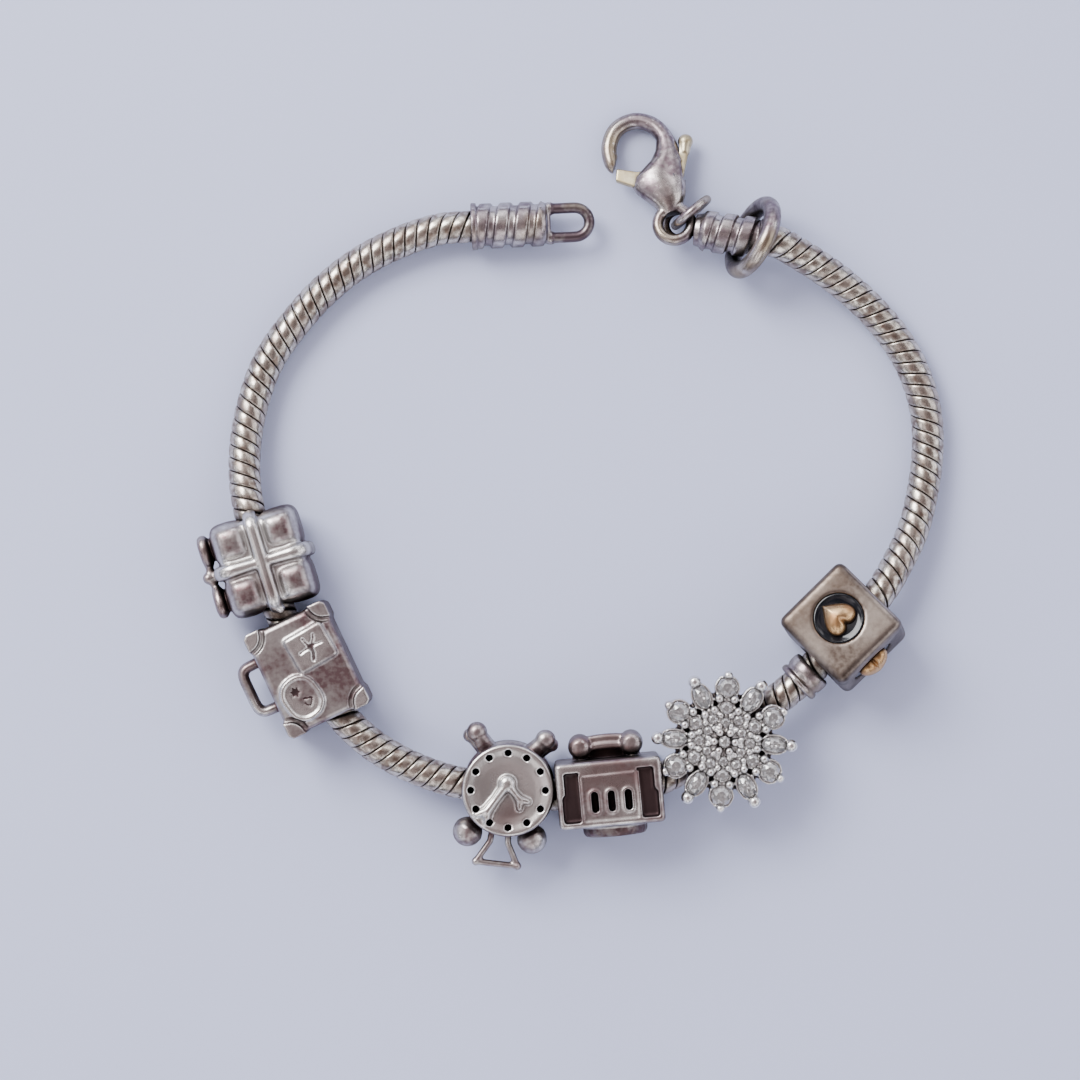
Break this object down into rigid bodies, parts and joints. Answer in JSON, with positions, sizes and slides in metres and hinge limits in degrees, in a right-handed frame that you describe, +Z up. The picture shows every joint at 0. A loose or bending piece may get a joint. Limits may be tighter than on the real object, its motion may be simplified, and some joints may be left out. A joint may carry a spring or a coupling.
{
  "type": "charm bracelet",
  "caption": "Silver snake-chain charm bracelet lying open, with a lobster clasp, loop end cap, stopper ring, cast charms, a thread station and small gold hearts.",
  "frame": {"origin": "under the middle of the whole bracelet's box, on the surface that it lies on", "axes": "+Z up, +Y from the charms at the low middle of the loop towards the clasp, +X towards the cube charm"},
  "size_m": [0.0718, 0.0728, 0.0098],
  "materials": {
    "cast_silver": "oxidised cast sterling silver, worn bright on the edges",
    "chain_silver": "polished sterling silver, lightly tarnished",
    "gold": "polished yellow gold",
    "black_enamel": "glossy black enamel",
    "crystal": "clear faceted cubic zirconia"
  },
  "bodies": {
    "bracelet": {"snake_chain": "chain_silver", "loop_end_cap": "chain_silver", "clasp_end_cap": "chain_silver", "jump_ring": "chain_silver", "stopper_ring": "chain_silver", "clasp_body": "chain_silver", "gift_charm": "cast_silver", "suitcase_charm": "cast_silver", "clock_charm": "cast_silver", "telephone_charm": "cast_silver", "snowflake_charm": "cast_silver", "snowflake_centre_stone": "crystal", "thread_station": "chain_silver", "cube_charm": "cast_silver", "enamel_top": "black_enamel", "gold_heart_top": "gold", "enamel_side": "black_enamel", "gold_heart_side": "gold"},
    "lever": {"clasp_lever": "chain_silver"}
  },
  "joints": [
    {"name": "lever_pivot", "type": "hinge", "parent": "bracelet", "child": "lever", "pos_m": [0.00975, 0.02983, 0.0024], "axis": [0.0798, -0.223, -0.9715], "range_deg": [0, 22], "stiffness_Nm_per_rad": 0.002, "springref_deg": -17.19}
  ]
}
